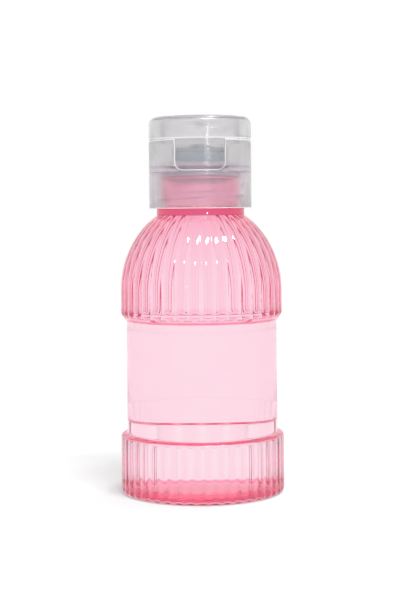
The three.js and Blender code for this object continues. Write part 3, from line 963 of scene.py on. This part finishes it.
def natural_pp(name, tints, core_r, grey, deck=None):
    """Milky plastic, greyed by its thickness, untinted within a radius and smoother near the axis.

    Over a deck it carries painted shade: grey above the deck, bluish round the spout tower and lilac at the
    deck itself. Faces marked as edges are painted white and almost opaque, as painted highlights.
    """
    m = Nodes(name)
    m.set(IOR=1.49, Coat_Weight=0.5, Coat_Roughness=0.25)
    colour = m.mix(m.radii(core_r, core_r + TINT_BLUR), m.colours(m.noise(260, 3), *tints), WHITE)
    smooth_top = LID_TOP - LID_TOP_T / 3
    if deck:
        smooth_top = deck
        # Painted shade: the base is greyed above the deck
        shade_above = m.heights(deck - DECK_T, deck + DECK_T / 2)
        # Painted shade: a lilac band at the deck
        deck_shade = m.both(m.heights(deck - DECK_SHADE_H, deck - DECK_T), m.heights(deck + DECK_T / 2, deck))
        # Painted shade: bluish grey round the spout tower, over the deck
        tower = m.both(m.radii(TOWER_R + TINT_BLUR, TOWER_R + TOWER_FLARE),
                       m.heights(TOWER_TOP + NOZZLE_H / 2, TOWER_TOP))
        colour = m.mix(shade_above, colour, UPPER_PAINTED_SHADE)
        colour = m.mix(deck_shade, colour, DECK_LILAC_SHADE)
        colour = m.mix(m.both(shade_above, tower), colour, TOWER_BLUE_SHADE)
    # Painted highlights: marked edge faces are white and nearly opaque
    edge = m.marked("edge")
    m.link(m.mix(edge, colour, WHITE), m.shader.inputs["Base Color"])
    inside = m.tree.nodes.new("ShaderNodeNewGeometry").outputs["Backfacing"]
    m.link(m.either(m.between(edge, 0.985, 0.1), inside), m.shader.inputs["Transmission Weight"])
    smooth_core = m.both(m.radii(SKIRT_OUT_R, SKIRT_OUT_R + TINT_BLUR),
                         m.heights(smooth_top, smooth_top - LID_TOP_T / 3))
    satin = m.between(m.noise(150, 2), 0.18, 0.24)
    m.link(m.both(satin, m.between(smooth_core, 1.0, 0.3)), m.shader.inputs["Roughness"])
    m.absorb(PP_COLOUR, grey)
    return m.material


def foam():
    m = Nodes("foam")
    m.link(m.colours(m.noise(1200, 3), (0.97, 0.84, 0.90), (1.0, 0.89, 0.94)), m.shader.inputs["Base Color"])
    m.link(m.between(m.noise(700), 0.6, 0.8), m.shader.inputs["Roughness"])
    m.bump(m.cells(2600), 0.08 * MM, 0.5)
    return m.material


# Stage

STAGE_DROP = 0.03 * MM
STAGE_SIZE = 1.6
STAGE_NEAR = 0.05
STAGE_FAR = 0.18
STAGE_COLOUR = 0.85
STAGE_GLOW = 0.24
WORLD_LIGHT = 0.55
LAMP_DISTANCE = 0.9
CAMERA_SENSOR = 36
CAMERA_LENS = 85.4
CAMERA_SHIFT = -0.1529
CAMERA_ROLL = math.radians(-0.54)
CAMERA_PLACE = (0, -0.418, 0.0824)
BOUNCES = 32


def glass_rays(tree):
    """1 for rays that leave glass or gloss, which see the floor and the world as one white background."""
    path = tree.nodes.new("ShaderNodeLightPath").outputs
    return math_node(tree, "MAXIMUM", path["Is Glossy Ray"], path["Is Transmission Ray"])


def camera_rays(tree):
    return tree.nodes.new("ShaderNodeLightPath").outputs["Is Camera Ray"]


def white_world():
    world = bpy.data.worlds.new("white_studio")
    bpy.context.scene.world = world
    world.use_nodes = True
    tree = world.node_tree
    sky = tree.nodes["Background"]
    sky.inputs["Color"].default_value = (1, 1, 1, 1)
    strength = tree.nodes.new("ShaderNodeMapRange")
    strength.inputs["To Min"].default_value = WORLD_LIGHT
    strength.inputs["To Max"].default_value = 1.0
    seen = math_node(tree, "MAXIMUM", camera_rays(tree), glass_rays(tree))
    tree.links.new(seen, strength.inputs["Value"])
    tree.links.new(strength.outputs["Result"], sky.inputs["Strength"])


def white_floor():
    """A white floor that keeps the shadow near the bottle and turns into the white background further out."""
    half = STAGE_SIZE / 2
    corners = [(-half, -half), (half, -half), (half, half), (-half, half)]
    floor = mesh_object("floor", [(x, y, -STAGE_DROP) for x, y in corners], [(0, 1, 2, 3)])
    material = bpy.data.materials.new("white_floor")
    material.use_nodes = True
    tree = material.node_tree
    shader = tree.nodes["Principled BSDF"]
    shader.inputs["Base Color"].default_value = (STAGE_COLOUR, STAGE_COLOUR, STAGE_COLOUR, 1)
    shader.inputs["Roughness"].default_value = 0.9
    shader.inputs["Specular IOR Level"].default_value = 0.0
    shader.inputs["Emission Color"].default_value = (1, 1, 1, 1)
    shader.inputs["Emission Strength"].default_value = STAGE_GLOW
    place = tree.nodes.new("ShaderNodeTexCoord")
    away = tree.nodes.new("ShaderNodeVectorMath")
    away.operation = "LENGTH"
    tree.links.new(place.outputs["Object"], away.inputs[0])
    fade = tree.nodes.new("ShaderNodeMapRange")
    fade.interpolation_type = "SMOOTHSTEP"
    fade.inputs["From Min"].default_value = STAGE_NEAR
    fade.inputs["From Max"].default_value = STAGE_FAR
    tree.links.new(away.outputs["Value"], fade.inputs["Value"])
    far = math_node(tree, "MULTIPLY", fade.outputs["Result"], camera_rays(tree))
    white = tree.nodes.new("ShaderNodeEmission")
    mix = tree.nodes.new("ShaderNodeMixShader")
    tree.links.new(math_node(tree, "MAXIMUM", far, glass_rays(tree)), mix.inputs["Fac"])
    tree.links.new(shader.outputs["BSDF"], mix.inputs[1])
    tree.links.new(white.outputs["Emission"], mix.inputs[2])
    tree.links.new(mix.outputs["Shader"], tree.nodes["Material Output"].inputs["Surface"])
    floor.data.materials.append(material)


def lamp(name, azimuth, elevation, width, height, power, aim=NECK_Z, spread=180):
    """A softbox that faces a height on the axis; azimuth 0 is the camera's side, and + is to the right."""
    data = bpy.data.lights.new(name, "AREA")
    data.shape = "RECTANGLE"
    data.size = width
    data.size_y = height
    data.energy = power
    data.spread = math.radians(spread)
    light = scene_object(name, data)
    a, e = math.radians(azimuth), math.radians(elevation)
    way = Vector((math.sin(a) * math.cos(e), -math.cos(a) * math.cos(e), math.sin(e)))
    target = Vector((0, 0, aim))
    light.location = target + way * LAMP_DISTANCE
    light.rotation_mode = "QUATERNION"
    light.rotation_quaternion = way.to_track_quat("Z", "Y")


def camera():
    data = bpy.data.cameras.new("camera")
    data.sensor_width = CAMERA_SENSOR
    data.lens = CAMERA_LENS
    data.shift_y = CAMERA_SHIFT
    view = scene_object("camera", data)
    turn = Matrix.Rotation(math.pi / 2, 4, "X") @ Matrix.Rotation(CAMERA_ROLL, 4, "Z")
    view.matrix_world = Matrix.Translation(CAMERA_PLACE) @ turn
    bpy.context.scene.camera = view


# Assembly

def dress(piece, material, body, slot, *nodes):
    piece.data.materials.clear()
    piece.data.materials.append(material)
    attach(piece, body)
    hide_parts(*nodes)


base_pp = natural_pp("natural_pp_base", BASE_TONES_PINK_LIGHT, SKIRT_OUT_R, BASE_GREY, DECK_TOP)
lid_pp = natural_pp("natural_pp_lid", LID_TINTS, SPIGOT_R, LID_GREY)
dress(bottle(), pink_pet(), "bottle", "pink_pet", "bottle_body")
dress(liquid(), cologne_liquid(), "bottle", "cologne", "cologne")
dress(liner(), foam(), "seal", "foam", "sealing_liner")
dress(cap_base(), base_pp, "cap", "natural_pp", "cap_base")
dress(lid(), lid_pp, "lid", "natural_pp", "flip_lid")
for node in ("hinge_film_left", "hinge_film_right", "snap_strap"):
    strip = ribbon(node + "_sheet", node, bow=node == "snap_strap")
    strip.data.materials.append(lid_pp)
    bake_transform(strip)
    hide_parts(node)

scene = bpy.context.scene
scene.view_settings.view_transform = "Standard"
scene.cycles.max_bounces = BOUNCES
scene.cycles.transmission_bounces = BOUNCES
scene.cycles.glossy_bounces = BOUNCES
white_world()
white_floor()
lamp("key_softbox", azimuth=26, elevation=60, width=0.34, height=0.11, power=4.2)
lamp("fill_strip", azimuth=-3, elevation=31, width=0.16, height=0.06, power=0.4)
lamp("top_softbox", azimuth=139, elevation=73, width=0.2, height=0.12, power=1.5)
lamp("lid_strip", azimuth=18, elevation=2, width=0.08, height=0.06, power=0.0008, aim=LID_TOP, spread=4)
camera()
